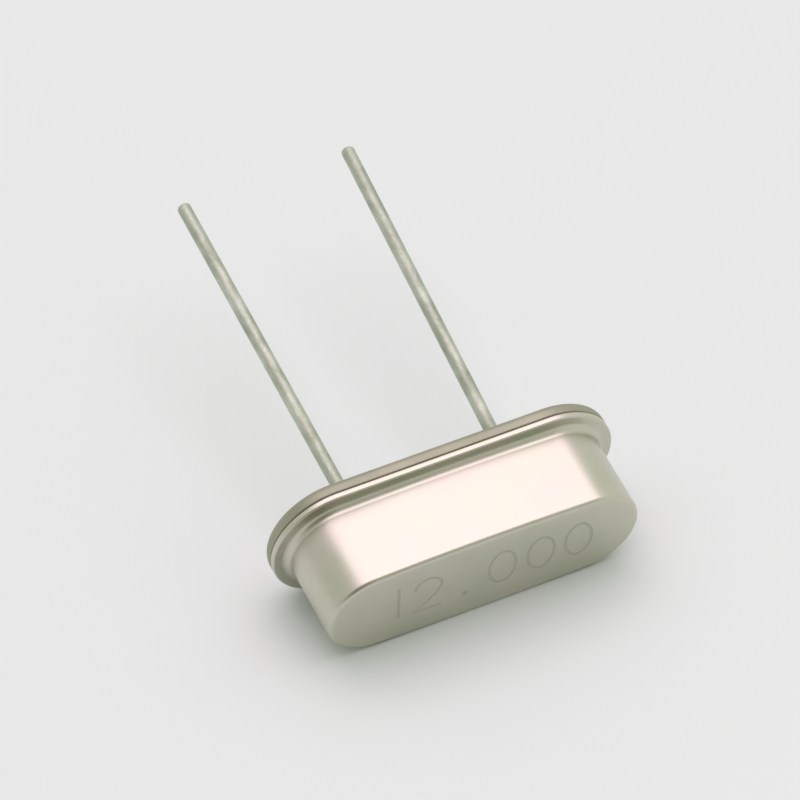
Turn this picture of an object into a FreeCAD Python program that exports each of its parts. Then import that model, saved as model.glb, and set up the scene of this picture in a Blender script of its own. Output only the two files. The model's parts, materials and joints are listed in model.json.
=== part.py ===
import FreeCAD, Part
import math
import os

import Sketcher
from FreeCAD import Placement, Rotation, Vector

# A low-profile quartz crystal with two wire leads, as soldered on a circuit board.
# A drawn metal can with a round flange is welded to a header plate. The two leads pass
# through the header in glass seals and end inside the can in slotted spring clips, which
# hold a thin strip of quartz with a metal electrode on each broad face.
#
# Every piece is drawn upright: the header's underside is z = 0, the can rises towards +Z
# and the leads hang towards -Z, one on each side of x = 0. One shared placement then lays
# the finished crystal on a long flat side, with its leads pointing along +Y.

# Driving dimensions, in millimetres and degrees.
SIZES = {
    # header plate, which has the flange and a raised middle that fits inside the can
    "flange_length": 11.05,
    "flange_width": 4.24,
    "header_thickness": 0.46,
    "header_rim_radius": 0.29,
    "plateau_height": 0.28,
    "plateau_clearance": 0.05,
    "plateau_edge_radius": 0.12,
    # drawn can, and how far the flange reaches past it at the ends and at the sides
    "end_lip": 0.50,
    "side_lip": 0.44,
    "can_side_radius": 90.0,
    "can_height": 3.50,
    "can_wall": 0.22,
    "can_edge_radius": 0.25,
    "rim_radius": 0.10,
    "can_root_radius": 0.16,
    # glass seals
    "seal_diameter": 1.30,
    "seal_recess": 0.03,
    "seal_hollow": 0.06,
    # leads; the pair sits a little to the left of the can's middle and leans to the right
    "lead_pitch": 5.00,
    "lead_shift": 0.085,
    "lead_diameter": 0.43,
    "left_lead_length": 12.85,
    "right_lead_length": 12.90,
    "lead_inner_end": 0.25,
    "lead_straight": 0.25,
    "lead_bend_radius": 12.0,
    "lead_tip_bevel": 0.06,
    "left_lean_angle": 0.6,
    "right_lean_angle": 3.2,
    # spring clips
    "clip_thickness": 0.10,
    "clip_width": 1.10,
    "clip_drop": 0.30,
    "clip_overhang": 0.35,
    "clip_bend_radius": 0.10,
    "clip_grip": 0.30,
    "slot_height": 0.25,
    "slot_clearance": 0.02,
    # quartz strip, and the room between it and the can's wall and ceiling
    "strip_room": 0.80,
    "strip_headroom": 0.22,
    "strip_thickness": 0.14,
    "strip_bevel": 0.03,
    # electrodes, and how much of the quartz is left bare past their ends and sides
    "film_margin": 1.60,
    "film_side_margin": 0.20,
    "film_thickness": 0.02,
    "film_tail_width": 0.55,
    "film_tail_margin": 0.10,
    # conductive adhesive at the strip's two ends
    "dot_diameter": 0.90,
    "dot_cap": 0.12,
    "dot_edge_bevel": 0.05,
}

# Lengths, heights and reaches that several pieces share, as formulas of the sheet. The can
# takes its outline from the flange, and the quartz, its clips and films from the can.
CAN_LENGTH = "(Sizes.flange_length - 2 * Sizes.end_lip)"
CAN_WIDTH = "(Sizes.flange_width - 2 * Sizes.side_lip)"
STRIP_END = f"({CAN_LENGTH} / 2 - Sizes.can_wall - Sizes.strip_room)"
LEAD_AT = {
    "left": "(-1 * Sizes.lead_pitch / 2 - Sizes.lead_shift)",
    "right": "(Sizes.lead_pitch / 2 - Sizes.lead_shift)",
}
LIP = "Sizes.header_thickness"
FLANGE_TOP = "(Sizes.header_thickness + Sizes.can_wall)"
PLATEAU_TOP = "(Sizes.header_thickness + Sizes.plateau_height)"
LEAD_TOP = "(Sizes.header_thickness + Sizes.plateau_height + Sizes.lead_inner_end)"
CAN_CEILING = "(Sizes.can_height - Sizes.can_wall)"
STRIP_FOOT = f"({LEAD_TOP} + Sizes.slot_height)"
STRIP_HEAD = f"({CAN_CEILING} - Sizes.strip_headroom)"
STRIP_MIDDLE = f"(({STRIP_FOOT} + {STRIP_HEAD}) / 2)"
CLIP_TOP = f"({STRIP_HEAD} - Sizes.clip_drop)"
CLIP_INNER = f"({STRIP_END} - Sizes.clip_grip)"
CLIP_OUTER = f"({CLIP_INNER} + Sizes.clip_thickness)"
FILM_END = f"({STRIP_END} - Sizes.film_margin)"
TAIL_END = f"({STRIP_END} - Sizes.film_tail_margin)"

# How near two positions must be to count as the same one when an edge is picked.
NEAR = 0.005

SIDES = {"left": -1, "right": 1}


def add_sheet(doc):
    """Puts the driving dimensions in the document's spreadsheet, each with its alias."""
    sheet = doc.addObject("Spreadsheet::Sheet", "Sizes")
    for row, (name, size) in enumerate(SIZES.items(), start=1):
        sheet.set(f"A{row}", name.replace("_", " "))
        sheet.set(f"B{row}", str(size))
        sheet.setAlias(f"B{row}", name)
    doc.recompute()
    return sheet


def value(thing, formula):
    """Works out a formula of the sheet as a plain number."""
    return float(thing.evalExpression(formula))


def new_body(doc, name):
    body = doc.addObject("PartDesign::Body", name)
    body.Label = name
    return body


def new_sketch(body, name, role, x="0", z="0", turned=False):
    """Adds a sketch on an origin plane, moved by x and z formulas in the sketch's own frame.

    A turned sketch is spun half a turn about its upright axis, so the same profile serves
    the left-hand side.
    """
    sketch = body.newObject("Sketcher::SketchObject", f"{body.Name}_{name}")
    planes = {feature.Role: feature for feature in body.Origin.OriginFeatures}
    sketch.AttachmentSupport = (planes[role], [""])
    sketch.MapMode = "FlatFace"
    if turned:
        sketch.AttachmentOffset = Placement(Vector(), Rotation(Vector(0, 1, 0), 180))
    sketch.setExpression("AttachmentOffset.Base.x", x)
    sketch.setExpression("AttachmentOffset.Base.z", z)
    return sketch


def tie(sketch, name, kind, *target, size):
    """Adds a dimension to a sketch and binds it to a formula of the sheet."""
    number = value(sketch, size)
    if kind == "Angle":
        number = math.radians(number)
    index = sketch.addConstraint(Sketcher.Constraint(kind, *target, number))
    sketch.renameConstraint(index, name)
    sketch.setExpression(f"Constraints.{name}", size)


def arc(centre, radius, start, end):
    """An arc of a circle, anticlockwise from start to end, in degrees."""
    circle = Part.Circle(Vector(*centre, 0), Vector(0, 0, 1), radius)
    return Part.ArcOfCircle(circle, math.radians(start), math.radians(end))


def line(start, end):
    return Part.LineSegment(Vector(*start, 0), Vector(*end, 0))


def straight_outline(sketch, length, width):
    """Draws a slot outline: round ends, joined by straight sides."""
    radius = value(sketch, width) / 2
    reach = value(sketch, length) / 2 - radius
    sketch.addGeometry([
        arc((reach, 0), radius, -90, 90),
        line((reach, radius), (-reach, radius)),
        arc((-reach, 0), radius, 90, 270),
        line((-reach, -radius), (reach, -radius)),
    ])
    for first, second in ((0, 1), (1, 2), (2, 3), (3, 0)):
        sketch.addConstraint(Sketcher.Constraint("Tangent", first, 2, second, 1))
    sketch.addConstraint(Sketcher.Constraint("PointOnObject", 0, 3, -1))
    sketch.addConstraint(Sketcher.Constraint("Symmetric", 0, 3, 2, 3, -1, 1))
    sketch.addConstraint(Sketcher.Constraint("Equal", 0, 2))
    tie(sketch, "EndRadius", "Radius", 0, size=f"({width}) / 2")
    tie(sketch, "Between", "DistanceX", 2, 3, 0, 3, size=f"({length}) - ({width})")


def bowed_outline(sketch, inset):
    """Draws the can's outline, moved inwards by inset: round ends and gently bowed sides.

    The end arcs run tangent into the side arcs. That sets the end arcs' radius, how far
    their centres lie from the middle and where the arcs join.
    """
    length = f"({CAN_LENGTH} - 2 * ({inset}))"
    width = f"({CAN_WIDTH} - 2 * ({inset}))"
    side = f"(Sizes.can_side_radius - ({inset}))"
    end = f"(({side} * {width} - {width}^2 / 4 - {length}^2 / 4) / (2 * {side} - {length}))"
    reach = f"({length} / 2 - {end})"
    drop = f"({side} - {width} / 2)"
    join_x = f"{side} * {reach} / ({side} - {end})"
    join_y = f"{drop} * {end} / ({side} - {end})"
    x, y = value(sketch, reach), value(sketch, drop)
    end_radius, side_radius = value(sketch, end), value(sketch, side)
    lean = math.degrees(math.atan2(x, y))
    sketch.addGeometry([
        arc((x, 0), end_radius, lean - 90, 90 - lean),
        arc((0, -y), side_radius, 90 - lean, 90 + lean),
        arc((-x, 0), end_radius, 90 + lean, 270 - lean),
        arc((0, y), side_radius, 270 - lean, 270 + lean),
    ])
    for first, second in ((0, 1), (1, 2), (2, 3), (3, 0)):
        sketch.addConstraint(Sketcher.Constraint("Coincident", first, 2, second, 1))
    sketch.addConstraint(Sketcher.Constraint("Symmetric", 1, 1, 1, 2, -2))
    sketch.addConstraint(Sketcher.Constraint("Symmetric", 1, 1, 3, 1, -1, 1))
    sketch.addConstraint(Sketcher.Constraint("Symmetric", 1, 2, 3, 2, -1, 1))
    sketch.addConstraint(Sketcher.Constraint("Equal", 1, 3))
    tie(sketch, "SideRadius", "Radius", 1, size=side)
    tie(sketch, "JoinX", "DistanceX", -1, 1, 1, 1, size=join_x)
    tie(sketch, "JoinY", "DistanceY", -1, 1, 1, 1, size=join_y)
    tie(sketch, "Reach", "DistanceX", -1, 1, 0, 3, size=reach)
    tie(sketch, "Between", "DistanceX", 2, 3, 0, 3, size=f"2 * {reach}")


def polygon(sketch, corners):
    """Draws a closed polygon whose corners are pairs of formulas, none of them zero."""
    points = [(value(sketch, x), value(sketch, y)) for x, y in corners]
    for start, end in zip(points, points[1:] + points[:1]):
        sketch.addGeometry(line(start, end))
    count = len(corners)
    for i in range(count):
        sketch.addConstraint(Sketcher.Constraint("Coincident", i, 2, (i + 1) % count, 1))
    for i, (x, y) in enumerate(corners):
        tie(sketch, f"Across{i}", "DistanceX", -1, 1, i, 1, size=x)
        tie(sketch, f"Up{i}", "DistanceY", -1, 1, i, 1, size=y)


def disc(sketch, diameter, x=None, y=None):
    """Draws a circle on the sketch's origin, or x along and y above it."""
    centre = (value(sketch, x) if x else 0, value(sketch, y) if y else 0)
    index = sketch.addGeometry(
        Part.Circle(Vector(*centre, 0), Vector(0, 0, 1), value(sketch, diameter) / 2)
    )
    tie(sketch, f"Diameter{index}", "Diameter", index, size=diameter)
    if x:
        tie(sketch, f"Across{index}", "DistanceX", -1, 1, index, 3, size=x)
    else:
        sketch.addConstraint(Sketcher.Constraint("PointOnObject", index, 3, -2))
    if y:
        tie(sketch, f"Up{index}", "DistanceY", -1, 1, index, 3, size=y)
    else:
        sketch.addConstraint(Sketcher.Constraint("PointOnObject", index, 3, -1))


def feature(body, kind, name, profile, length=None, **settings):
    """Adds a sketch-based feature, sets it up and recomputes."""
    made = body.newObject(f"PartDesign::{kind}", f"{body.Name}_{name}")
    made.Profile = profile
    if length:
        made.setExpression("Length", length)
    for setting, choice in settings.items():
        setattr(made, setting, choice)
    body.Document.recompute()
    return made


def dress(body, kind, name, edges, size):
    """Rounds (Fillet) or bevels (Chamfer) the named edges of the body so far."""
    made = body.newObject(f"PartDesign::{kind}", f"{body.Name}_{name}")
    made.Base = (body.Tip if body.Tip != made else made.BaseFeature, edges)
    made.setExpression("Radius" if kind == "Fillet" else "Size", size)
    body.Document.recompute()
    return made


def edges_where(body, test):
    """Names the edges of the body so far whose bounding box passes a test."""
    edges = body.Tip.Shape.Edges
    names = [f"Edge{i}" for i, edge in enumerate(edges, start=1) if test(edge.BoundBox)]
    if not names:
        raise RuntimeError(f"{body.Label}: no edge found to round")
    return names


def outline_edges(body, height, length):
    """Names the edges of the flat outline of this length at this height."""
    level = value(body, height)
    span = value(body, length)
    shape = body.Tip.Shape
    for wire in (wire for face in shape.Faces for wire in face.Wires):
        box = wire.BoundBox
        flat = abs(box.ZMin - level) < NEAR and abs(box.ZMax - level) < NEAR
        if flat and abs(box.XLength - span) < NEAR:
            return [
                f"Edge{i}"
                for i, edge in enumerate(shape.Edges, start=1)
                if any(edge.isSame(other) for other in wire.Edges)
            ]
    raise RuntimeError(f"{body.Label}: no outline {span} long at height {level}")


def make_can(doc):
    """The drawn can: a cup with an out-turned flange, one wall thickness all over."""
    body = new_body(doc, "can")
    flange = new_sketch(body, "flange_outline", "XY_Plane", z=LIP)
    straight_outline(flange, "Sizes.flange_length", "Sizes.flange_width")
    feature(body, "Pad", "flange", flange, length="Sizes.can_wall")
    cup = new_sketch(body, "cup_outline", "XY_Plane", z=LIP)
    bowed_outline(cup, "0")
    feature(body, "Pad", "cup", cup, length=f"Sizes.can_height - {LIP}")
    root = outline_edges(body, FLANGE_TOP, CAN_LENGTH)
    dress(body, "Fillet", "root", root, "Sizes.can_root_radius")
    crown = outline_edges(body, "Sizes.can_height", CAN_LENGTH)
    dress(body, "Fillet", "crown", crown, "Sizes.can_edge_radius")
    rim = outline_edges(body, FLANGE_TOP, "Sizes.flange_length")
    dress(body, "Fillet", "rim", rim, "Sizes.rim_radius")
    hollow = new_sketch(body, "hollow_outline", "XY_Plane", z=LIP)
    bowed_outline(hollow, "Sizes.can_wall")
    feature(body, "Pocket", "hollow", hollow, length=f"{CAN_CEILING} - {LIP}", Reversed=True)
    bore = f"{CAN_LENGTH} - 2 * Sizes.can_wall"
    ceiling = outline_edges(body, CAN_CEILING, bore)
    dress(body, "Fillet", "ceiling", ceiling, "Sizes.can_edge_radius - Sizes.can_wall")
    lip = outline_edges(body, LIP, bore)
    dress(body, "Fillet", "lip", lip, "Sizes.can_root_radius + Sizes.can_wall / 2")
    return body


def make_header(doc):
    """The header plate: a flange like the can's, a raised middle and two holes for glass."""
    body = new_body(doc, "header")
    flange = new_sketch(body, "flange_outline", "XY_Plane")
    straight_outline(flange, "Sizes.flange_length", "Sizes.flange_width")
    feature(body, "Pad", "flange", flange, length="Sizes.header_thickness")
    inset = "Sizes.can_wall + Sizes.plateau_clearance"
    plateau = new_sketch(body, "plateau_outline", "XY_Plane", z=LIP)
    bowed_outline(plateau, inset)
    feature(body, "Pad", "plateau", plateau, length="Sizes.plateau_height")
    edge = outline_edges(body, PLATEAU_TOP, f"{CAN_LENGTH} - 2 * ({inset})")
    dress(body, "Fillet", "plateau_edge", edge, "Sizes.plateau_edge_radius")
    rim = outline_edges(body, "0", "Sizes.flange_length")
    dress(body, "Fillet", "rim", rim, "Sizes.header_rim_radius")
    holes = new_sketch(body, "seal_holes", "XY_Plane")
    for side in SIDES:
        disc(holes, "Sizes.seal_diameter", x=LEAD_AT[side])
    feature(body, "Pocket", "seal_holes", holes, length=PLATEAU_TOP, Reversed=True)
    return body


def make_seal(doc, side):
    """A glass bead between the header and a lead, hollowed a little at its outer end."""
    body = new_body(doc, f"glass_seal_{side}")
    profile = new_sketch(body, "profile", "XZ_Plane", x=LEAD_AT[side])
    inner = "Sizes.lead_diameter / 2"
    outer = "Sizes.seal_diameter / 2"
    low = "Sizes.seal_recess"
    high = f"{PLATEAU_TOP} - Sizes.seal_recess"
    chord = f"(({outer}) - ({inner}))"
    radius = f"(({chord}^2 / 4 + Sizes.seal_hollow^2) / (2 * Sizes.seal_hollow))"
    left, right = value(profile, inner), value(profile, outer)
    bottom, top = value(profile, low), value(profile, high)
    bend = value(profile, radius)
    middle = (left + right) / 2
    spread = math.degrees(math.asin((right - left) / 2 / bend))
    sink = bend * math.cos(math.radians(spread))
    profile.addGeometry([
        arc((middle, bottom - sink), bend, 90 - spread, 90 + spread),
        line((right, bottom), (right, top)),
        line((right, top), (left, top)),
        line((left, top), (left, bottom)),
    ])
    for joint in ((0, 1, 1, 1), (1, 2, 2, 1), (2, 2, 3, 1), (3, 2, 0, 2)):
        profile.addConstraint(Sketcher.Constraint("Coincident", *joint))
    for i in (1, 3):
        profile.addConstraint(Sketcher.Constraint("Vertical", i))
    profile.addConstraint(Sketcher.Constraint("Horizontal", 2))
    profile.addConstraint(Sketcher.Constraint("Horizontal", 1, 1, 3, 2))
    tie(profile, "Hollow", "Radius", 0, size=radius)
    tie(profile, "Inner", "DistanceX", -1, 1, 3, 2, size=inner)
    tie(profile, "Outer", "DistanceX", -1, 1, 1, 1, size=outer)
    tie(profile, "Low", "DistanceY", -1, 1, 1, 1, size=low)
    tie(profile, "High", "DistanceY", -1, 1, 1, 2, size=high)
    feature(body, "Revolution", "bead", profile, ReferenceAxis=(profile, ["V_Axis"]), Angle=360)
    return body


def make_lead(doc, side):
    """A round wire: straight through the seal, then bent to the right by its lean angle."""
    body = new_body(doc, f"lead_{side}")
    lean = f"Sizes.{side}_lean_angle"
    length = f"Sizes.{side}_lead_length"
    section = new_sketch(body, "section", "XY_Plane", x=LEAD_AT[side], z=LEAD_TOP)
    disc(section, "Sizes.lead_diameter")
    route = new_sketch(body, "route", "XZ_Plane", x=LEAD_AT[side])
    top = value(route, LEAD_TOP)
    knee = -value(route, "Sizes.lead_straight")
    bend = value(route, "Sizes.lead_bend_radius")
    angle = value(route, lean)
    tip = -value(route, length)
    turn = math.radians(angle)
    bend_end = (bend * (1 - math.cos(turn)), knee - bend * math.sin(turn))
    tip_point = (bend_end[0] + (bend_end[1] - tip) * math.tan(turn), tip)
    route.addGeometry([
        line((0, top), (0, knee)),
        arc((bend, knee), bend, 180, 180 + angle),
        line(bend_end, tip_point),
    ])
    route.addConstraint(Sketcher.Constraint("Tangent", 0, 2, 1, 1))
    route.addConstraint(Sketcher.Constraint("Tangent", 1, 2, 2, 1))
    route.addConstraint(Sketcher.Constraint("PointOnObject", 0, 1, -2))
    route.addConstraint(Sketcher.Constraint("Vertical", 0))
    tie(route, "Top", "DistanceY", -1, 1, 0, 1, size=LEAD_TOP)
    tie(route, "Straight", "DistanceY", 0, 2, -1, 1, size="Sizes.lead_straight")
    tie(route, "Bend", "Radius", 1, size="Sizes.lead_bend_radius")
    tie(route, "Lean", "Angle", 0, 1, 2, 1, size=lean)
    tie(route, "Length", "DistanceY", 2, 2, -1, 1, size=length)
    wire = feature(body, "AdditivePipe", "wire", section)
    wire.Spine = (route, ["Edge1", "Edge2", "Edge3"])
    doc.recompute()
    floor = wire.Shape.BoundBox.ZMin
    size = value(body, "Sizes.lead_diameter")
    tip_edge = edges_where(body, lambda box: box.ZMin - floor < NEAR and box.ZMax - floor < size)
    dress(body, "Chamfer", "tip", tip_edge, "Sizes.lead_tip_bevel")
    return body


def make_clip(doc, side):
    """A bent spring strip: its foot is welded to the lead and its slot holds the quartz."""
    body = new_body(doc, f"spring_clip_{side}")
    profile = new_sketch(body, "profile", "XZ_Plane", turned=side == "left")
    foot_end = "Sizes.lead_pitch / 2 - Sizes.clip_overhang"
    foot_top = f"{LEAD_TOP} + Sizes.clip_thickness"
    polygon(profile, [
        (foot_end, LEAD_TOP),
        (CLIP_OUTER, LEAD_TOP),
        (CLIP_OUTER, CLIP_TOP),
        (CLIP_INNER, CLIP_TOP),
        (CLIP_INNER, foot_top),
        (foot_end, foot_top),
    ])
    feature(body, "Pad", "strip", profile, length="Sizes.clip_width", Midplane=True)
    bend = "Sizes.clip_bend_radius"
    for name, x, z, radius in (
        ("outer_bend", CLIP_OUTER, LEAD_TOP, f"{bend} + Sizes.clip_thickness"),
        ("inner_bend", CLIP_INNER, foot_top, bend),
    ):
        corner_x = SIDES[side] * value(body, x)
        corner_z = value(body, z)
        edge = edges_where(body, lambda box: (
            max(abs(box.XMin - corner_x), abs(box.XMax - corner_x)) < NEAR
            and max(abs(box.ZMin - corner_z), abs(box.ZMax - corner_z)) < NEAR
        ))
        dress(body, "Fillet", name, edge, radius)
    slot = new_sketch(body, "slot", "YZ_Plane")
    half = "(Sizes.strip_thickness / 2 + Sizes.film_thickness + Sizes.slot_clearance)"
    above = f"{CLIP_TOP} + Sizes.clip_thickness"
    polygon(slot, [
        (f"-1 * {half}", STRIP_FOOT),
        (half, STRIP_FOOT),
        (half, above),
        (f"-1 * {half}", above),
    ])
    reach = f"2 * {CLIP_OUTER} + Sizes.clip_thickness"
    feature(body, "Pocket", "slot", slot, length=reach, Midplane=True)
    return body


def make_strip(doc):
    """The quartz strip, held on edge by the two clips, with its short edges bevelled."""
    body = new_body(doc, "quartz_strip")
    face = new_sketch(body, "face", "XZ_Plane")
    polygon(face, [
        (f"-1 * {STRIP_END}", STRIP_FOOT),
        (STRIP_END, STRIP_FOOT),
        (STRIP_END, STRIP_HEAD),
        (f"-1 * {STRIP_END}", STRIP_HEAD),
    ])
    feature(body, "Pad", "strip", face, length="Sizes.strip_thickness", Midplane=True)
    reach = value(body, STRIP_END)
    edges = edges_where(body, lambda box: (
        min(abs(box.XMin), abs(box.XMax)) > reach - NEAR and box.YLength < NEAR
    ))
    dress(body, "Chamfer", "bevel", edges, "Sizes.strip_bevel")
    return body


def make_electrode(doc, name, face_sign, tail_sign):
    """A metal film on one broad face of the quartz, with a tail to the clip at one end."""
    body = new_body(doc, name)
    shift = f"{-face_sign} * Sizes.strip_thickness / 2"
    film = new_sketch(body, "film", "XZ_Plane", z=shift)
    pad_end = f"{tail_sign} * {FILM_END}"
    far_end = f"{-tail_sign} * {FILM_END}"
    tail_end = f"{tail_sign} * {TAIL_END}"
    half = f"(({STRIP_HEAD} - {STRIP_FOOT}) / 2 - Sizes.film_side_margin)"
    tail_half = "Sizes.film_tail_width / 2"
    polygon(film, [
        (far_end, f"{STRIP_MIDDLE} - {half}"),
        (pad_end, f"{STRIP_MIDDLE} - {half}"),
        (pad_end, f"{STRIP_MIDDLE} - {tail_half}"),
        (tail_end, f"{STRIP_MIDDLE} - {tail_half}"),
        (tail_end, f"{STRIP_MIDDLE} + {tail_half}"),
        (pad_end, f"{STRIP_MIDDLE} + {tail_half}"),
        (pad_end, f"{STRIP_MIDDLE} + {half}"),
        (far_end, f"{STRIP_MIDDLE} + {half}"),
    ])
    feature(body, "Pad", "film", film, length="Sizes.film_thickness", Reversed=face_sign > 0)
    return body


def make_dot(doc, side, film_face_sign):
    """A dot of conductive adhesive that bonds the strip's end to the outside of its clip."""
    body = new_body(doc, f"adhesive_{side}")
    turned = side == "left"
    start = f"{SIDES[side]} * {CLIP_OUTER}"
    cap = f"{STRIP_END} + Sizes.dot_cap"
    section = new_sketch(body, "section", "YZ_Plane", z=start)
    disc(section, "Sizes.dot_diameter", y=STRIP_MIDDLE)
    feature(body, "Pad", "dot", section, length=f"{cap} - {CLIP_OUTER}", Reversed=turned)
    reach = value(body, cap)
    edges = edges_where(body, lambda box: min(abs(box.XMin), abs(box.XMax)) > reach - NEAR)
    dress(body, "Chamfer", "edge", edges, "Sizes.dot_edge_bevel")
    cut_height = "Sizes.dot_diameter"
    for name, low, high, half_height, end in (
        ("strip_slot", "-0.5 * Sizes.strip_thickness", "0.5 * Sizes.strip_thickness",
         cut_height, STRIP_END),
        ("film_slot", f"{film_face_sign} * Sizes.strip_thickness / 2",
         f"{film_face_sign} * (Sizes.strip_thickness / 2 + Sizes.film_thickness)",
         "Sizes.film_tail_width / 2", TAIL_END),
    ):
        cut = new_sketch(body, name, "YZ_Plane", z=start)
        polygon(cut, [
            (low, f"{STRIP_MIDDLE} - {half_height}"),
            (high, f"{STRIP_MIDDLE} - {half_height}"),
            (high, f"{STRIP_MIDDLE} + {half_height}"),
            (low, f"{STRIP_MIDDLE} + {half_height}"),
        ])
        feature(body, "Pocket", name, cut, length=f"{end} - {CLIP_OUTER}", Reversed=not turned)
    return body


def add_lying_pose(doc):
    """The placement that lays the crystal down on its flange's rim and its can's edge.

    In the upright frame both contacts are small arcs, seen along X: the flange's upper rim
    and the can's crown. The tilt is the angle at which one flat floor touches both.
    """
    pose = doc.addObject("App::VarSet", "Lying")
    steps = {
        "rim_y": "Sizes.flange_width / 2 - Sizes.rim_radius",
        "rim_z": f"{FLANGE_TOP} - Sizes.rim_radius",
        "crown_y": f"{CAN_WIDTH} / 2 - Sizes.can_edge_radius",
        "crown_z": "Sizes.can_height - Sizes.can_edge_radius",
        "across": "Lying.rim_y - Lying.crown_y",
        "along": "Lying.crown_z - Lying.rim_z",
        "swell": "Sizes.can_edge_radius - Sizes.rim_radius",
        "tilt": "(acos(Lying.swell / hypot(Lying.across; Lying.along))"
                " - atan2(Lying.along; Lying.across)) / 1deg",
        "height": "Lying.rim_y * cos(Lying.tilt) + Lying.rim_z * sin(Lying.tilt)"
                  " + Sizes.rim_radius",
        "front": "Lying.crown_y * sin(Lying.tilt) + Lying.crown_z * cos(Lying.tilt)"
                 " + Sizes.can_edge_radius",
        "back": "max(Sizes.left_lead_length; Sizes.right_lead_length) * cos(Lying.tilt)"
                " + Sizes.lead_diameter / 2 * sin(Lying.tilt)",
    }
    for name, formula in steps.items():
        pose.addProperty("App::PropertyFloat", name, "Pose")
        pose.setExpression(name, formula)
        doc.recompute()
    lay = doc.addObject("App::Placement", "Lay")
    lay.Placement = Placement(Vector(), Rotation(Vector(1, 0, 0), 90))
    lay.setExpression("Placement.Rotation.Angle", "90 + Lying.tilt")
    lay.setExpression("Placement.Base.y", "(Lying.front - Lying.back) / 2")
    lay.setExpression("Placement.Base.z", "Lying.height")
    doc.recompute()
    return lay


def check(doc, pieces):
    """Stops if any object failed or any piece is not one sound solid."""
    for thing in doc.Objects:
        if {"Invalid", "Error"} & set(thing.State):
            raise RuntimeError(f"{thing.Label} failed: {thing.State}")
    for piece in pieces:
        shape = piece.Shape
        if shape.isNull() or not shape.isValid() or len(shape.Solids) != 1:
            raise RuntimeError(f"{piece.Label} is not one sound solid")


def main():
    doc = FreeCAD.newDocument("QuartzCrystal")
    add_sheet(doc)
    pieces = [make_can(doc), make_header(doc)]
    for side in SIDES:
        pieces += [make_seal(doc, side), make_lead(doc, side), make_clip(doc, side)]
    pieces.append(make_strip(doc))
    pieces.append(make_electrode(doc, "electrode_upper", face_sign=1, tail_sign=1))
    pieces.append(make_electrode(doc, "electrode_lower", face_sign=-1, tail_sign=-1))
    pieces.append(make_dot(doc, "left", film_face_sign=-1))
    pieces.append(make_dot(doc, "right", film_face_sign=1))
    add_lying_pose(doc)
    for piece in pieces:
        piece.setExpression("Placement", "Lay.Placement")
    doc.recompute()
    check(doc, pieces)
    os.makedirs("parts", exist_ok=True)
    for piece in pieces:
        piece.Shape.exportStep(f"parts/{piece.Label}.step")
        box = piece.Shape.BoundBox
        print(f"{piece.Label}: {piece.Shape.Volume:.4f} mm3, y {box.YMin:.3f} to {box.YMax:.3f},"
              f" z {box.ZMin:.3f} to {box.ZMax:.3f}")


main()
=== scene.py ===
import json
import math

import bmesh
import bpy
from mathutils import Matrix, Vector


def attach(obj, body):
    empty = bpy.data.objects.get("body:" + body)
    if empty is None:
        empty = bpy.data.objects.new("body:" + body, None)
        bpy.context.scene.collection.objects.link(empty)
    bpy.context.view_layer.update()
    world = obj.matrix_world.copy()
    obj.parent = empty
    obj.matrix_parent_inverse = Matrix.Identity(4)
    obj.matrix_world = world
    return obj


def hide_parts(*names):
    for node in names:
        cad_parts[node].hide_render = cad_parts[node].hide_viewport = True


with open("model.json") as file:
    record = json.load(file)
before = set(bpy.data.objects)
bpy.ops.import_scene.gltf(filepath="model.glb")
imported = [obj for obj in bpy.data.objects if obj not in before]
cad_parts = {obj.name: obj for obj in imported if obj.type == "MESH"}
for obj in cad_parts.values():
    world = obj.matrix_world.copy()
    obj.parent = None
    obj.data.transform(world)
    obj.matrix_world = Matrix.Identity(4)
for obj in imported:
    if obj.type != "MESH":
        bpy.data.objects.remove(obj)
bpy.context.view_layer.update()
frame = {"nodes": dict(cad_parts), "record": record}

# A low-profile quartz crystal: a drawn, nickel-plated can with a welded flange, lying on one
# long flat side, with two tinned leads. Inside, a strip of quartz hangs between two springs.
#
# The shells and leads are worked out upright, in millimetres: the seating plane is z = 0, the
# can rises towards +Z and the leads hang towards -Z. "LAY" lays each finished piece down.

MM = 0.001

# ---------------------------------------------------------------- sizes, mm and degrees

FLANGE_LENGTH = 11.05
FLANGE_WIDTH = 4.24
HEADER_THICKNESS = 0.46
HEADER_RIM_RADIUS = 0.29
PLATEAU_HEIGHT = 0.28
PLATEAU_CLEARANCE = 0.05
PLATEAU_EDGE_RADIUS = 0.12
END_LIP = 0.50
SIDE_LIP = 0.44
CAN_LENGTH = FLANGE_LENGTH - 2 * END_LIP
CAN_WIDTH = FLANGE_WIDTH - 2 * SIDE_LIP
CAN_SIDE_RADIUS = 90.0
CAN_HEIGHT = 3.50
CAN_WALL = 0.22
CAN_EDGE_RADIUS = 0.16
CAN_INNER_RADIUS = 0.03
CAN_ROOT_RADIUS = 0.24
RIM_RADIUS = 0.06
RIM_SEAM_RADIUS = 0.08
HEADER_SEAM_RADIUS = 0.04
SEAL_DIAMETER = 1.30
SEAL_RECESS = 0.03
SEAL_HOLLOW = 0.06
LEAD_AT = {"left": -2.585, "right": 2.415}
LEAD_LEAN = {"left": 0.6, "right": 3.2}
LEAD_LENGTH = {"left": 12.85, "right": 12.90}
LEAD_DIAMETER = 0.43
LEAD_STRAIGHT = 0.25
LEAD_BEND_RADIUS = 12.0
LEAD_INNER_END = 0.25
LEAD_TIP_ROUND = 0.11
FLANGE_TOP = HEADER_THICKNESS + CAN_WALL
PLATEAU_TOP = HEADER_THICKNESS + PLATEAU_HEIGHT

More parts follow.
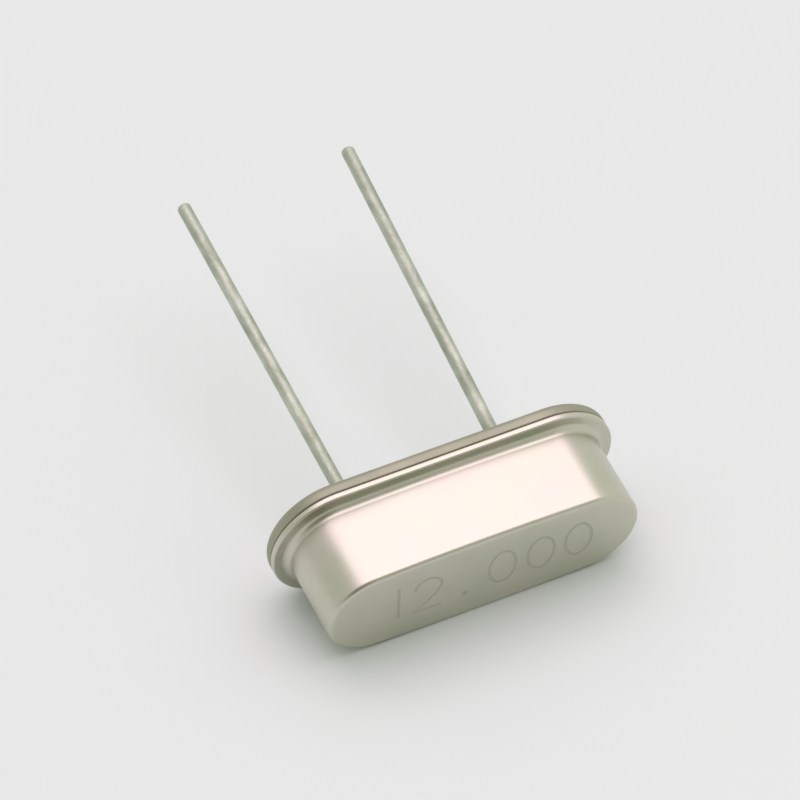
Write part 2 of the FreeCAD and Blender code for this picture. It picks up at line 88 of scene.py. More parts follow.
# The seat in the record says where the seating plane lies and which way the leads point.
SEAT = next(mount for mount in frame["record"]["mounts"] if mount["name"] == "seat")
LEAN = SEAT["axis"]
LAY = Matrix.Translation(SEAT["pos_m"]) @ Matrix((
    (MM, 0, 0, 0),
    (0, -LEAN[2] * MM, -LEAN[1] * MM, 0),
    (0, LEAN[1] * MM, -LEAN[2] * MM, 0),
    (0, 0, 0, 1),
))

# ---------------------------------------------------------------- nodes and colours


def linear(hex_colour):
    """A linear RGBA colour from an sRGB hex value such as #C8C4B4."""
    channels = [int(hex_colour[i:i + 2], 16) / 255 for i in (1, 3, 5)]
    return tuple(c / 12.92 if c <= 0.04045 else ((c + 0.055) / 1.055) ** 2.4
                 for c in channels) + (1.0,)


def add_node(tree, kind, inputs=None, **settings):
    """Adds a node, sets its properties and fills its inputs with values or links."""
    node = tree.nodes.new(kind)
    for name, choice in settings.items():
        setattr(node, name, choice)
    for key, given in (inputs or {}).items():
        socket = node.inputs[key]
        if isinstance(given, bpy.types.NodeSocket):
            tree.links.new(given, socket)
        else:
            socket.default_value = given
    return node


def new_material(name):
    """An empty node material with its output, and the tree to build it in."""
    material = bpy.data.materials.new(name)
    material.use_nodes = True
    material.node_tree.nodes.clear()
    return material, material.node_tree


def finish_material(material, surface):
    add_node(material.node_tree, "ShaderNodeOutputMaterial", {"Surface": surface})
    return material


def grain(tree, per_mm, stretch=(1, 1, 1), detail=4.0, roughness=0.55):
    """A pattern from 0 to 1 with so many features to a millimetre, drawn out along an axis."""
    place = add_node(tree, "ShaderNodeTexCoord")
    scaled = add_node(tree, "ShaderNodeMapping", {
        "Vector": place.outputs["Object"],
        "Scale": [per_mm / MM / s for s in stretch],
    })
    noise = add_node(tree, "ShaderNodeTexNoise", {
        "Vector": scaled.outputs["Vector"], "Scale": 1.0, "Detail": detail,
        "Roughness": roughness,
    })
    full = add_node(tree, "ShaderNodeMapRange", {
        "Value": noise.outputs["Fac"], "From Min": 0.3, "From Max": 0.7,
    })
    return full.outputs["Result"]


# ---------------------------------------------------------------- materials


def satin_nickel_on_drawn_can():
    """Nickel plate on a deep-drawn can.

    The matte bath leaves a satin face with a faint warm-grey cast. Drawing leaves fine lines
    along the walls, and handling leaves soft cloudy patches of higher and lower gloss.
    """
    material, tree = new_material("satin nickel on drawn can")
    draw_lines = grain(tree, 14.0, stretch=(1, 30, 6), detail=3)
    plate_grain = grain(tree, 28.0, detail=2)
    clouds = grain(tree, 0.55, detail=3)
    colour = add_node(tree, "ShaderNodeMix", {
        0: clouds, 6: linear("#C4C8B5"), 7: linear("#D1CCC0"),
    }, data_type="RGBA")
    gloss = add_node(tree, "ShaderNodeMapRange", {
        "Value": clouds, "To Min": 0.30, "To Max": 0.38,
    })
    fine = add_node(tree, "ShaderNodeBump", {"Height": plate_grain, "Distance": 0.0005 * MM})
    lines = add_node(tree, "ShaderNodeBump", {
        "Height": draw_lines, "Distance": 0.0006 * MM, "Normal": fine.outputs["Normal"],
    })
    shader = add_node(tree, "ShaderNodeBsdfPrincipled", {
        "Base Color": colour.outputs[2],
        "Metallic": 1.0,
        "Roughness": gloss.outputs["Result"],
        "Normal": lines.outputs["Normal"],
    })
    return finish_material(material, shader.outputs["BSDF"])


def nickel_on_stamped_plate_painted_darker():
    """The header's plate: the same nickel bath on a stamped blank, a little rougher, and painted
    darker than the can's nickel: the darker colour is painted shade for the dull band along its
    rim.
    """
    material, tree = new_material("nickel on stamped plate painted darker for shade")
    plate_grain = grain(tree, 22.0, detail=3)
    clouds = grain(tree, 0.8, detail=3)
    # Painted shade: both colours are darker than the can's nickel and stand for the shaded, dull
    # band along the header's rim.
    colour = add_node(tree, "ShaderNodeMix", {
        0: clouds, 6: linear("#A0A38F"), 7: linear("#AEAE9A"),
    }, data_type="RGBA")
    gloss = add_node(tree, "ShaderNodeMapRange", {
        "Value": plate_grain, "To Min": 0.52, "To Max": 0.60,
    })
    skin = add_node(tree, "ShaderNodeBump", {"Height": plate_grain, "Distance": 0.0008 * MM})
    shader = add_node(tree, "ShaderNodeBsdfPrincipled", {
        "Base Color": colour.outputs[2],
        "Metallic": 1.0,
        "Roughness": gloss.outputs["Result"],
        "Normal": skin.outputs["Normal"],
    })
    return finish_material(material, shader.outputs["BSDF"])


def tinned_wire():
    """Hot-tinned wire: a satin solder coat with slight runs and cloudy spots along the wire."""
    material, tree = new_material("tinned wire")
    runs = grain(tree, 2.5, stretch=(1, 3, 1), detail=4)
    skin = grain(tree, 14.0, stretch=(1, 2.5, 1), detail=3)
    colour = add_node(tree, "ShaderNodeMix", {
        0: runs, 6: linear("#A4AC99"), 7: linear("#CED5C6"),
    }, data_type="RGBA")
    gloss = add_node(tree, "ShaderNodeMapRange", {
        "Value": skin, "To Min": 0.50, "To Max": 0.64,
    })
    slow = add_node(tree, "ShaderNodeBump", {"Height": runs, "Distance": 0.010 * MM})
    fine = add_node(tree, "ShaderNodeBump", {
        "Height": skin, "Distance": 0.002 * MM, "Normal": slow.outputs["Normal"],
    })
    shader = add_node(tree, "ShaderNodeBsdfPrincipled", {
        "Base Color": colour.outputs[2],
        "Metallic": 1.0,
        "Roughness": gloss.outputs["Result"],
        "Normal": fine.outputs["Normal"],
    })
    return finish_material(material, shader.outputs["BSDF"])


def sealing_glass():
    """Fused glass bead: dark grey-green, glossy, with small bubbles under the skin."""
    material, tree = new_material("sealing glass")
    depth = grain(tree, 6.0, detail=3)
    colour = add_node(tree, "ShaderNodeMix", {
        0: depth, 6: linear("#1E2826"), 7: linear("#34423E"),
    }, data_type="RGBA")
    skin = add_node(tree, "ShaderNodeBump", {"Height": depth, "Distance": 0.0008 * MM})
    shader = add_node(tree, "ShaderNodeBsdfPrincipled", {
        "Base Color": colour.outputs[2],
        "Roughness": 0.12,
        "IOR": 1.52,
        "Normal": skin.outputs["Normal"],
    })
    return finish_material(material, shader.outputs["BSDF"])


def rolled_spring_strip():
    """Rolled nickel-silver strip: bright, with straight rolling lines."""
    material, tree = new_material("rolled spring strip")
    lines = grain(tree, 20.0, stretch=(1, 1, 20), detail=2)
    colour = add_node(tree, "ShaderNodeMix", {
        0: lines, 6: linear("#C4C0B2"), 7: linear("#D0CCC0"),
    }, data_type="RGBA")
    gloss = add_node(tree, "ShaderNodeMapRange", {
        "Value": lines, "To Min": 0.24, "To Max": 0.34,
    })
    rolled = add_node(tree, "ShaderNodeBump", {"Height": lines, "Distance": 0.0004 * MM})
    shader = add_node(tree, "ShaderNodeBsdfPrincipled", {
        "Base Color": colour.outputs[2],
        "Metallic": 1.0,
        "Roughness": gloss.outputs["Result"],
        "Normal": rolled.outputs["Normal"],
    })
    return finish_material(material, shader.outputs["BSDF"])


def lapped_quartz():
    """Lapped quartz: clear stone with finely ground faces that look milky."""
    material, tree = new_material("lapped quartz")
    ground = grain(tree, 30.0, detail=2)
    colour = add_node(tree, "ShaderNodeMix", {
        0: ground, 6: linear("#E4E9EA"), 7: linear("#F1F4F4"),
    }, data_type="RGBA")
    frost = add_node(tree, "ShaderNodeBump", {"Height": ground, "Distance": 0.0005 * MM})
    shader = add_node(tree, "ShaderNodeBsdfPrincipled", {
        "Base Color": colour.outputs[2],
        "Roughness": 0.35,
        "IOR": 1.54,
        "Transmission Weight": 0.55,
        "Normal": frost.outputs["Normal"],
    })
    return finish_material(material, shader.outputs["BSDF"])


def evaporated_silver():
    """A silver film laid down in a vacuum: it takes the ground face's fine grain."""
    material, tree = new_material("evaporated silver")
    ground = grain(tree, 30.0, detail=2)
    colour = add_node(tree, "ShaderNodeMix", {
        0: ground, 6: linear("#DEDCD4"), 7: linear("#EBE9E3"),
    }, data_type="RGBA")
    frost = add_node(tree, "ShaderNodeBump", {"Height": ground, "Distance": 0.0005 * MM})
    shader = add_node(tree, "ShaderNodeBsdfPrincipled", {
        "Base Color": colour.outputs[2],
        "Metallic": 1.0,
        "Roughness": 0.28,
        "Normal": frost.outputs["Normal"],
    })
    return finish_material(material, shader.outputs["BSDF"])


def silver_filled_adhesive():
    """Cured adhesive full of silver flakes: dull grey with fine sparkle."""
    material, tree = new_material("silver-filled adhesive")
    flakes = grain(tree, 12.0, detail=4, roughness=0.7)
    colour = add_node(tree, "ShaderNodeMix", {
        0: flakes, 6: linear("#8E8B86"), 7: linear("#C4C1BA"),
    }, data_type="RGBA")
    gloss = add_node(tree, "ShaderNodeMapRange", {
        "Value": flakes, "To Min": 0.62, "To Max": 0.42,
    })
    lumps = add_node(tree, "ShaderNodeBump", {"Height": flakes, "Distance": 0.005 * MM})
    shader = add_node(tree, "ShaderNodeBsdfPrincipled", {
        "Base Color": colour.outputs[2],
        "Metallic": 0.35,
        "Roughness": gloss.outputs["Result"],
        "Normal": lumps.outputs["Normal"],
    })
    return finish_material(material, shader.outputs["BSDF"])


def laser_mark():
    """The number's strokes: oxide left by a marking laser, a matte darker grey."""
    material, tree = new_material("laser mark")
    spots = grain(tree, 16.0, detail=3)
    colour = add_node(tree, "ShaderNodeMix", {
        0: spots, 6: linear("#B4B5A2"), 7: linear("#C2C3B1"),
    }, data_type="RGBA")
    pits = add_node(tree, "ShaderNodeBump", {"Height": spots, "Distance": 0.001 * MM})
    shader = add_node(tree, "ShaderNodeBsdfPrincipled", {
        "Base Color": colour.outputs[2],
        "Metallic": 0.9,
        "Roughness": 0.6,
        "Normal": pits.outputs["Normal"],
    })
    return finish_material(material, shader.outputs["BSDF"])


# ---------------------------------------------------------------- outlines and shells

END_STEPS = 56
SIDE_STEPS = 72
WALL_STEPS = 8
TURN_STEPS = 96
HOLLOW_STEPS = 16
SHARP_ANGLE = 40

# How far in the rings lie that share out each flat face, from its edge or towards its middle.
END_FACE_INSETS = (1.5, 1.1, 0.7, 0.4)
CEILING_INSETS = (0.45, 1.0, 1.5)
UNDERSIDE_INSETS = (2.0, 1.5, 1.0, 0.5)
PLATEAU_INSETS = (0.6, 1.1, 1.5)

# The drills for the seals' holes start and end this far outside the header.
DRILL_REACH = 0.5


def arc_points(centre, radius, start, end, steps):
    """Points along an arc in degrees, without its last point."""
    return [(centre[0] + radius * math.cos(math.radians(start + (end - start) * i / steps)),
             centre[1] + radius * math.sin(math.radians(start + (end - start) * i / steps)))
            for i in range(steps)]


def bowed_outline(inset):
    """The can's outline moved inwards: round ends run tangent into gently bowed sides."""
    length = CAN_LENGTH - 2 * inset
    width = CAN_WIDTH - 2 * inset
    side = CAN_SIDE_RADIUS - inset
    end = (side * width - width ** 2 / 4 - length ** 2 / 4) / (2 * side - length)
    reach = length / 2 - end
    drop = side - width / 2
    lean = math.degrees(math.atan2(reach, drop))
    return (arc_points((reach, 0), end, lean - 90, 90 - lean, END_STEPS)
            + arc_points((0, -drop), side, 90 - lean, 90 + lean, SIDE_STEPS)
            + arc_points((-reach, 0), end, 90 + lean, 270 - lean, END_STEPS)
            + arc_points((0, drop), side, 270 - lean, 270 + lean, SIDE_STEPS))


def slot_outline(inset):
    """The flange's outline moved inwards: half circles joined by straight sides."""
    radius = FLANGE_WIDTH / 2 - inset
    reach = FLANGE_LENGTH / 2 - FLANGE_WIDTH / 2
    sides = [-reach + 2 * reach * i / SIDE_STEPS for i in range(SIDE_STEPS)]
    return (arc_points((reach, 0), radius, -90, 90, END_STEPS)
            + [(-x, radius) for x in sides]
            + arc_points((-reach, 0), radius, 90, 270, END_STEPS)
            + [(x, -radius) for x in sides])


def ring(outline, inset, height):
    return [Vector((x, y, height)) for x, y in outline(inset)]


def quarter(outline, inset, height, radius, start, end, steps):
    """Rings round a fillet whose centre line is at this inset and height.

    The angle is 0 where the fillet faces outwards and 90 where it faces up.
    """
    rings = []
    for i in range(steps + 1):
        angle = math.radians(start + (end - start) * i / steps)
        rings.append(ring(outline, inset - radius * math.cos(angle),
                          height + radius * math.sin(angle)))
    return rings


def put_in_scene(name, mesh, material):
    """Smooths a mesh over its rounded edges, gives it its material and adds it."""
    for face in mesh.polygons:
        face.use_smooth = True
    mesh.set_sharp_from_angle(angle=math.radians(SHARP_ANGLE))
    mesh.materials.clear()
    mesh.materials.append(material)
    piece = bpy.data.objects.new(name, mesh)
    bpy.context.scene.collection.objects.link(piece)
    return piece


def shell_mesh(name, rings):
    """A closed skin over rings of equal count, with its first and last ring filled."""
    shape = bmesh.new()
    rows = [[shape.verts.new(LAY @ point) for point in points] for points in rings]
    count = len(rows[0])
    for low, high in zip(rows, rows[1:]):
        for i in range(count):
            j = (i + 1) % count
            shape.faces.new((low[i], low[j], high[j], high[i]))
    shape.faces.new(reversed(rows[0]))
    shape.faces.new(rows[-1])
    bmesh.ops.recalc_face_normals(shape, faces=shape.faces)
    mesh = bpy.data.meshes.new(name)
    shape.to_mesh(mesh)
    shape.free()
    return mesh


def make_can(material):
    """The drawn can: crown, wall, root and flange outside, then the same wall inside."""
    crown = CAN_HEIGHT - CAN_EDGE_RADIUS
    ceiling = CAN_HEIGHT - CAN_WALL
    lip_radius = CAN_ROOT_RADIUS + CAN_WALL / 2
    rings = [ring(bowed_outline, inset, CAN_HEIGHT) for inset in END_FACE_INSETS]
    rings += reversed(quarter(bowed_outline, CAN_EDGE_RADIUS, crown, CAN_EDGE_RADIUS, 0, 90, 14))
    root_height = FLANGE_TOP + CAN_ROOT_RADIUS
    rings += [ring(bowed_outline, 0, crown - (crown - root_height) * i / WALL_STEPS)
              for i in range(1, WALL_STEPS)]
    rings += quarter(bowed_outline, -CAN_ROOT_RADIUS, root_height, CAN_ROOT_RADIUS, 180, 270, 14)
    rings += reversed(quarter(slot_outline, RIM_RADIUS, FLANGE_TOP - RIM_RADIUS, RIM_RADIUS,
                              0, 90, 10))
    rings += reversed(quarter(slot_outline, RIM_SEAM_RADIUS, HEADER_THICKNESS + RIM_SEAM_RADIUS,
                              RIM_SEAM_RADIUS, -90, 0, 8))
    lip_height = HEADER_THICKNESS + lip_radius
    rings += reversed(quarter(bowed_outline, CAN_WALL - lip_radius, lip_height, lip_radius,
                              180, 270, 8))
    rings += quarter(bowed_outline, CAN_WALL + CAN_INNER_RADIUS, ceiling - CAN_INNER_RADIUS,
                     CAN_INNER_RADIUS, 0, 90, 8)
    rings += [ring(bowed_outline, inset, ceiling) for inset in CEILING_INSETS]
    return put_in_scene("drawn_can", shell_mesh("drawn can", rings), material)


def make_header(material):
    """The stamped header: flange, raised middle and the two holes for the glass seals."""
    plateau_inset = CAN_WALL + PLATEAU_CLEARANCE
    rings = [ring(slot_outline, inset, 0) for inset in UNDERSIDE_INSETS]
    rings += quarter(slot_outline, HEADER_RIM_RADIUS, HEADER_RIM_RADIUS, HEADER_RIM_RADIUS,
                     -90, 0, 12)
    rings += quarter(slot_outline, HEADER_SEAM_RADIUS, HEADER_THICKNESS - HEADER_SEAM_RADIUS,
                     HEADER_SEAM_RADIUS, 0, 90, 6)
    rings.append(ring(bowed_outline, plateau_inset, HEADER_THICKNESS))
    edge = PLATEAU_TOP - PLATEAU_EDGE_RADIUS
    rings += quarter(bowed_outline, plateau_inset + PLATEAU_EDGE_RADIUS, edge,
                     PLATEAU_EDGE_RADIUS, 0, 90, 6)
    rings += [ring(bowed_outline, inset, PLATEAU_TOP) for inset in PLATEAU_INSETS]
    blank = put_in_scene("header_blank", shell_mesh("header blank", rings), material)
    cutters = []
    for side, centre in LEAD_AT.items():
        drill = [[Vector((centre + x, y, height))
                  for x, y in arc_points((0, 0), SEAL_DIAMETER / 2, 0, 360, TURN_STEPS)]
                 for height in (-DRILL_REACH, PLATEAU_TOP + DRILL_REACH)]
        cutter = put_in_scene(f"drill_{side}", shell_mesh(f"drill {side}", drill), material)
        hole = blank.modifiers.new(f"hole {side}", "BOOLEAN")
        hole.operation = "DIFFERENCE"
        hole.solver = "EXACT"
        hole.object = cutter
        cutters.append(cutter)
    bpy.context.view_layer.update()
    mesh = plain_mesh(blank, "stamped header")
    for piece in [blank] + cutters:
        bpy.data.objects.remove(piece)
    return put_in_scene("stamped_header", mesh, material)


def make_seal(side, material):
    """A glass bead turned about its lead, its outer end drawn down into a shallow hollow."""
    inner, outer = LEAD_DIAMETER / 2, SEAL_DIAMETER / 2
    top = PLATEAU_TOP - SEAL_RECESS
    chord = outer - inner
    bend = (chord ** 2 / 4 + SEAL_HOLLOW ** 2) / (2 * SEAL_HOLLOW)
    spread_angle = math.asin(chord / 2 / bend)
    profile = []
    for i in range(HOLLOW_STEPS + 1):
        angle = spread_angle * (2 * i / HOLLOW_STEPS - 1)
        profile.append(((inner + outer) / 2 + bend * math.sin(angle),
                        SEAL_RECESS + bend * (math.cos(angle) - math.cos(spread_angle))))
    profile += [(outer, top), (inner, top)]
    shape = bmesh.new()
    centre = LEAD_AT[side]
    columns = []
    for k in range(TURN_STEPS):
        turn = 2 * math.pi * k / TURN_STEPS
        columns.append([
            shape.verts.new(LAY @ Vector((centre + r * math.cos(turn), r * math.sin(turn), z)))
            for r, z in profile
        ])
    for k in range(TURN_STEPS):
        here, there = columns[k], columns[(k + 1) % TURN_STEPS]
        for i in range(len(profile)):
            j = (i + 1) % len(profile)
            shape.faces.new((here[i], here[j], there[j], there[i]))
    bmesh.ops.recalc_face_normals(shape, faces=shape.faces)
    mesh = bpy.data.meshes.new(f"glass bead {side}")
    shape.to_mesh(mesh)
    shape.free()
    return put_in_scene(f"glass_bead_{side}", mesh, material)


# ---------------------------------------------------------------- sweeps by Geometry Nodes


def plain_mesh(piece, name):
    """The evaluated shape of an object as a plain mesh."""
    seen = piece.evaluated_get(bpy.context.evaluated_depsgraph_get())
    mesh = bpy.data.meshes.new_from_object(seen)
    mesh.name = name
    return mesh


def grow(name, seed, tree, settings):
    """Runs a tree on a seed mesh and returns the plain mesh that it makes."""
    holder = bpy.data.objects.new(name, seed)
    bpy.context.scene.collection.objects.link(holder)
    modifier = holder.modifiers.new(name, "NODES")
    modifier.node_group = tree
    sockets = {item.name: item.identifier for item in tree.interface.items_tree
               if item.in_out == "INPUT"}
    for label, given in settings.items():
        modifier[sockets[label]] = given
    bpy.context.view_layer.update()
    mesh = plain_mesh(holder, name)
    holder.modifiers.remove(modifier)
    bpy.data.objects.remove(holder)
    return mesh


def new_tree(name, inputs):
    """A geometry tree with a geometry input and output and the named inputs."""
    tree = bpy.data.node_groups.new(name, "GeometryNodeTree")
    tree.interface.new_socket("Geometry", in_out="INPUT", socket_type="NodeSocketGeometry")
    tree.interface.new_socket("Geometry", in_out="OUTPUT", socket_type="NodeSocketGeometry")
    for label, kind in inputs:
        tree.interface.new_socket(label, in_out="INPUT", socket_type=f"NodeSocket{kind}")
    return tree, add_node(tree, "NodeGroupInput").outputs


def close_tree(tree, geometry, material):
    """Ends a tree with real geometry, its material and the output."""
    real = add_node(tree, "GeometryNodeRealizeInstances", {"Geometry": geometry})
    dressed = add_node(tree, "GeometryNodeSetMaterial", {
        "Geometry": real.outputs["Geometry"], "Material": material,
    })
    add_node(tree, "NodeGroupOutput", {"Geometry": dressed.outputs["Geometry"]})
    return tree


def path_mesh(name, path, swell):
    """A polyline as a mesh of edges; swell is how thick the sweep is at each point."""
    mesh = bpy.data.meshes.new(name)
    edges = [(i, i + 1) for i in range(len(path) - 1)]
    mesh.from_pydata([LAY @ Vector(point) for point in path], edges, [])
    attribute = mesh.attributes.new("swell", "FLOAT", "POINT")
    attribute.data.foreach_set("value", swell)
    return mesh


def wire_tree(material):
    """Sweeps a round wire along a path, thinner where its swell is below 1."""
    tree, given = new_tree("wire along a path", [("Wire Radius", "Float"), ("Facets", "Int")])
    path = add_node(tree, "GeometryNodeMeshToCurve", {"Mesh": given["Geometry"]})
    swell = add_node(tree, "GeometryNodeInputNamedAttribute", {"Name": "swell"},
                     data_type="FLOAT")
    section = add_node(tree, "GeometryNodeCurvePrimitiveCircle", {
        "Resolution": given["Facets"], "Radius": given["Wire Radius"],
    })
    sweep = add_node(tree, "GeometryNodeCurveToMesh", {
        "Curve": path.outputs["Curve"],
        "Profile Curve": section.outputs["Curve"],
        "Scale": swell.outputs["Attribute"],
        "Fill Caps": True,
    })
    return close_tree(tree, sweep.outputs["Mesh"], material)


BEND_STEPS = 8
STRAIGHT_STEPS = 12
TIP_STEPS = 8
WIRE_FACETS = 48


def make_lead(side, tree, material):
    """A wire: straight through its seal, a gentle bend, then straight to its rounded tip."""
    lean = math.radians(LEAD_LEAN[side])
    radius = LEAD_DIAMETER / 2
    path = [(0, 0, PLATEAU_TOP + LEAD_INNER_END), (0, 0, 0), (0, 0, -LEAD_STRAIGHT)]
    for i in range(1, BEND_STEPS + 1):
        turn = lean * i / BEND_STEPS
        path.append((LEAD_BEND_RADIUS * (1 - math.cos(turn)), 0,
                     -LEAD_STRAIGHT - LEAD_BEND_RADIUS * math.sin(turn)))
    start = Vector(path[-1])
    fall = (LEAD_LENGTH[side] + start.z) / math.cos(lean)
    along = Vector((math.sin(lean), 0, -math.cos(lean)))
    path += [tuple(start + along * fall * i / STRAIGHT_STEPS) for i in range(1, STRAIGHT_STEPS)]
    path.append(tuple(start + along * (fall - LEAD_TIP_ROUND)))
    swell = [1.0] * len(path)
    for i in range(1, TIP_STEPS + 1):
        angle = math.radians(90 * i / TIP_STEPS)
        path.append(tuple(start + along * (fall - LEAD_TIP_ROUND * (1 - math.sin(angle)))))
        swell.append(1 - LEAD_TIP_ROUND / radius * (1 - math.cos(angle)))
    path = [(LEAD_AT[side] + x, y, z) for x, y, z in path]
    mesh = grow(f"lead wire {side}", path_mesh(f"lead path {side}", path, swell), tree,
                {"Wire Radius": radius * MM, "Facets": WIRE_FACETS})
    return put_in_scene(f"lead_wire_{side}", mesh, material)


# ---------------------------------------------------------------- the number on the end face

MARK_HEIGHT = 1.43
MARK_WIDTH = 0.86
MARK_FOOT = -0.66
MARK_STROKE = 0.10
MARK_RISE = 0.004
MARK_SINK = 0.002
MARK_TAPER = 0.9
MARK_STARTS = (-3.22, -2.27, -1.07, 0.13, 1.38, 2.60)


def oval(middle=(0.5, 0.5), reach=(0.5, 0.5), steps=40):
    """A closed ellipse in a figure's box, which runs from 0 to 1 both ways."""
    return [(middle[0] + reach[0] * math.sin(2 * math.pi * i / steps),
             middle[1] - reach[1] * math.cos(2 * math.pi * i / steps))
            for i in range(steps + 1)]


def two():
    """The figure 2: a round head, a slanted neck and a flat foot."""
    head = [(0.5 - 0.5 * math.cos(math.radians(a)), 0.70 + 0.30 * math.sin(math.radians(a)))
            for a in range(0, 200, 12)]
    return head + [(0.78, 0.42), (0.0, 0.0), (1.0, 0.0)]


STROKES = {
    "1": [[(0.5, 1.0), (0.5, 0.0)]],
    "2": [two()],
    ".": [oval((0.5, 0.05), (0.05, 0.03), 16)],
    "0": [oval()],
}


def ribbon(path, closed):
    """A flat stroke that lies on the end face along a path in its plane."""
    shape = bmesh.new()
    points = [Vector((x, y, 0)) for x, y in path]
    if closed:
        points = points[:-1]
    count = len(points)
    rows = []
    for i, point in enumerate(points):
        before = points[(i - 1) % count] if closed or i else point
        after = points[(i + 1) % count] if closed or i < count - 1 else point
        run = (after - before).normalized()
        across = Vector((-run.y, run.x, 0)) * MARK_STROKE / 2
        narrow = across * MARK_TAPER
        low = Vector((0, 0, CAN_HEIGHT - MARK_SINK))
        high = Vector((0, 0, CAN_HEIGHT + MARK_RISE))
        rows.append([shape.verts.new(LAY @ (point + side + level)) for side, level in
                     ((-across, low), (across, low), (narrow, high), (-narrow, high))])
    spans = count if closed else count - 1
    for i in range(spans):
        here, there = rows[i], rows[(i + 1) % count]
        for k in range(4):
            m = (k + 1) % 4
            shape.faces.new((here[k], here[m], there[m], there[k]))
    if not closed:
        shape.faces.new(rows[0])
        shape.faces.new(reversed(rows[-1]))
    bmesh.ops.recalc_face_normals(shape, faces=shape.faces)
    return shape


def make_mark(material):
    """A plain number in thin single strokes, as a laser draws it on the can's end face."""
    whole = bmesh.new()
    for start, sign in zip(MARK_STARTS, "12.000"):
        for stroke in STROKES[sign]:
            path = [(start + MARK_WIDTH * x, MARK_FOOT + MARK_HEIGHT * y) for x, y in stroke]
            shape = ribbon(path, closed=sign in ".0")
            part = bpy.data.meshes.new("stroke")
            shape.to_mesh(part)
            shape.free()
            whole.from_mesh(part)
            bpy.data.meshes.remove(part)
    mesh = bpy.data.meshes.new("end face number")
    whole.to_mesh(mesh)
    whole.free()
    return put_in_scene("end_face_number", mesh, material)


# ---------------------------------------------------------------- stage, lights and camera


def make_floor():
    """A pale sheet under the crystal, wide enough to fill every view."""
    material, tree = new_material("pale matte sheet")
    shade = grain(tree, 0.02, detail=2)
    colour = add_node(tree, "ShaderNodeMix", {
        0: shade, 6: linear("#E3EDEA"), 7: linear("#E6F0ED"),
    }, data_type="RGBA")
    shader = add_node(tree, "ShaderNodeBsdfPrincipled", {
        "Base Color": colour.outputs[2],
        "Roughness": 0.85,
    })
    finish_material(material, shader.outputs["BSDF"])
    mesh = bpy.data.meshes.new("floor")
    reach = 3.0
    mesh.from_pydata([(-reach, -reach, 0), (reach, -reach, 0), (reach, reach, 0),
                      (-reach, reach, 0)], [], [(0, 1, 2, 3)])
    mesh.materials.append(material)
    floor = bpy.data.objects.new("floor", mesh)
    bpy.context.scene.collection.objects.link(floor)


# One softbox hangs over the crystal, turned to face it. Metres, watts and sRGB.
SOFTBOX_TOWARDS = Vector((0.10, 0.15, 0.95)).normalized()
SOFTBOX_DISTANCE = 0.45
SOFTBOX_SIZE = (0.50, 0.60)
SOFTBOX_POWER = 1.21
SOFTBOX_COLOUR = "#FFE2F9"


def add_softbox():
    lamp = bpy.data.lights.new("overhead softbox", "AREA")
    lamp.shape = "RECTANGLE"
    lamp.size, lamp.size_y = SOFTBOX_SIZE
    lamp.energy = SOFTBOX_POWER
    lamp.color = linear(SOFTBOX_COLOUR)[:3]
    holder = bpy.data.objects.new("overhead softbox", lamp)
    across = Vector((0, 1, 0)).cross(SOFTBOX_TOWARDS).normalized()
    turn = Matrix((across, SOFTBOX_TOWARDS.cross(across), SOFTBOX_TOWARDS)).transposed().to_4x4()
    holder.matrix_world = Matrix.Translation(SOFTBOX_TOWARDS * SOFTBOX_DISTANCE) @ turn
    bpy.context.scene.collection.objects.link(holder)


# The room is pale all round, a little lighter on the right, and darker where whoever takes the
# picture stands.
DARK_FRONT = Vector((-0.35, -0.78, 0.52)).normalized()


def light_the_room():
    world = bpy.data.worlds.new("studio")
    bpy.context.scene.world = world
    world.use_nodes = True
    tree = world.node_tree
    tree.nodes.clear()
    direction = add_node(tree, "ShaderNodeTexCoord")
    sides = add_node(tree, "ShaderNodeSeparateXYZ", {"Vector": direction.outputs["Generated"]})
    rightness = add_node(tree, "ShaderNodeMapRange", {
        "Value": sides.outputs["X"], "From Min": -1.0,
    })
    pale = add_node(tree, "ShaderNodeMix", {
        0: rightness.outputs["Result"], 6: linear("#E6E4DE"), 7: linear("#FBFDF5"),
    }, data_type="RGBA")
    facing = add_node(tree, "ShaderNodeVectorMath", {
        0: direction.outputs["Generated"], 1: DARK_FRONT,
    }, operation="DOT_PRODUCT")
    nearness = add_node(tree, "ShaderNodeMapRange", {
        "Value": facing.outputs["Value"], "From Min": 0.70, "From Max": 0.96,
    })
    wall = add_node(tree, "ShaderNodeMix", {
        0: nearness.outputs["Result"], 6: pale.outputs[2], 7: linear("#86866C"),
    }, data_type="RGBA")
    room = add_node(tree, "ShaderNodeBackground", {"Color": wall.outputs[2], "Strength": 0.82})
    add_node(tree, "ShaderNodeOutputWorld", {"Surface": room.outputs["Background"]})


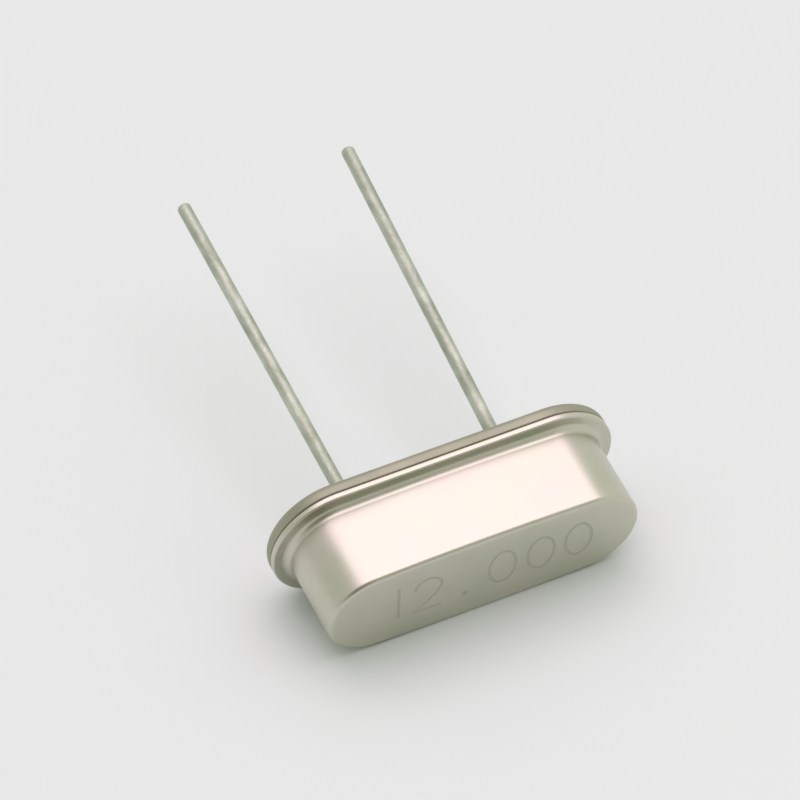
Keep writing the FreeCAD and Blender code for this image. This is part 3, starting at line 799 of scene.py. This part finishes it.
# The camera stands where its view matches the photo's outlines: its place in mm, its view axes,
# and its focal length as a multiple of the picture's width.
CAMERA_PLACE = (-45.718, -112.503, 117.376)
CAMERA_RIGHT = (0.9057, -0.42158, -0.04442)
CAMERA_UP = (0.32037, 0.6121, 0.72298)
CAMERA_FOCUS = 5564.7 / 800
SENSOR_WIDTH = 36


def add_camera():
    lens = bpy.data.cameras.new("camera")
    lens.sensor_width = SENSOR_WIDTH
    lens.sensor_fit = "HORIZONTAL"
    lens.lens = CAMERA_FOCUS * SENSOR_WIDTH
    lens.clip_start = 0.01
    holder = bpy.data.objects.new("camera", lens)
    right, up = Vector(CAMERA_RIGHT).normalized(), Vector(CAMERA_UP).normalized()
    back = right.cross(up)
    turn = Matrix((right, up, back)).transposed().to_4x4()
    holder.matrix_world = Matrix.Translation(Vector(CAMERA_PLACE) * MM) @ turn
    bpy.context.scene.collection.objects.link(holder)
    bpy.context.scene.camera = holder


# ---------------------------------------------------------------- putting it together


def dress(node, material):
    """Gives a carried-over CAD solid its procedural material."""
    solid = frame["nodes"][node]
    for slot in solid.material_slots:
        slot.material = material


def adopt(piece, slot, *nodes):
    """Ties a finished piece to the crystal's one body and hides the CAD solids it stands in for;
    the slot is not used.
    """
    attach(piece, "root")
    if nodes:
        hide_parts(*nodes)


bpy.context.scene.view_settings.view_transform = "Standard"
can_plate = satin_nickel_on_drawn_can()
header_plate = nickel_on_stamped_plate_painted_darker()
wire = tinned_wire()
glass = sealing_glass()

adopt(make_can(can_plate), "can_plate", "can")
adopt(make_header(header_plate), "header_plate", "header")
wire_sweep = wire_tree(wire)
for side in LEAD_AT:
    adopt(make_seal(side, glass), "seal_glass", f"glass_seal_{side}")
    adopt(make_lead(side, wire_sweep, wire), "lead_wire", f"lead_{side}")
adopt(make_mark(laser_mark()), "can_plate")

spring = rolled_spring_strip()
adhesive = silver_filled_adhesive()
film = evaporated_silver()
for side in LEAD_AT:
    dress(f"spring_clip_{side}", spring)
    dress(f"adhesive_{side}", adhesive)
dress("quartz_strip", lapped_quartz())
dress("electrode_upper", film)
dress("electrode_lower", film)

make_floor()
add_softbox()
light_the_room()
add_camera()
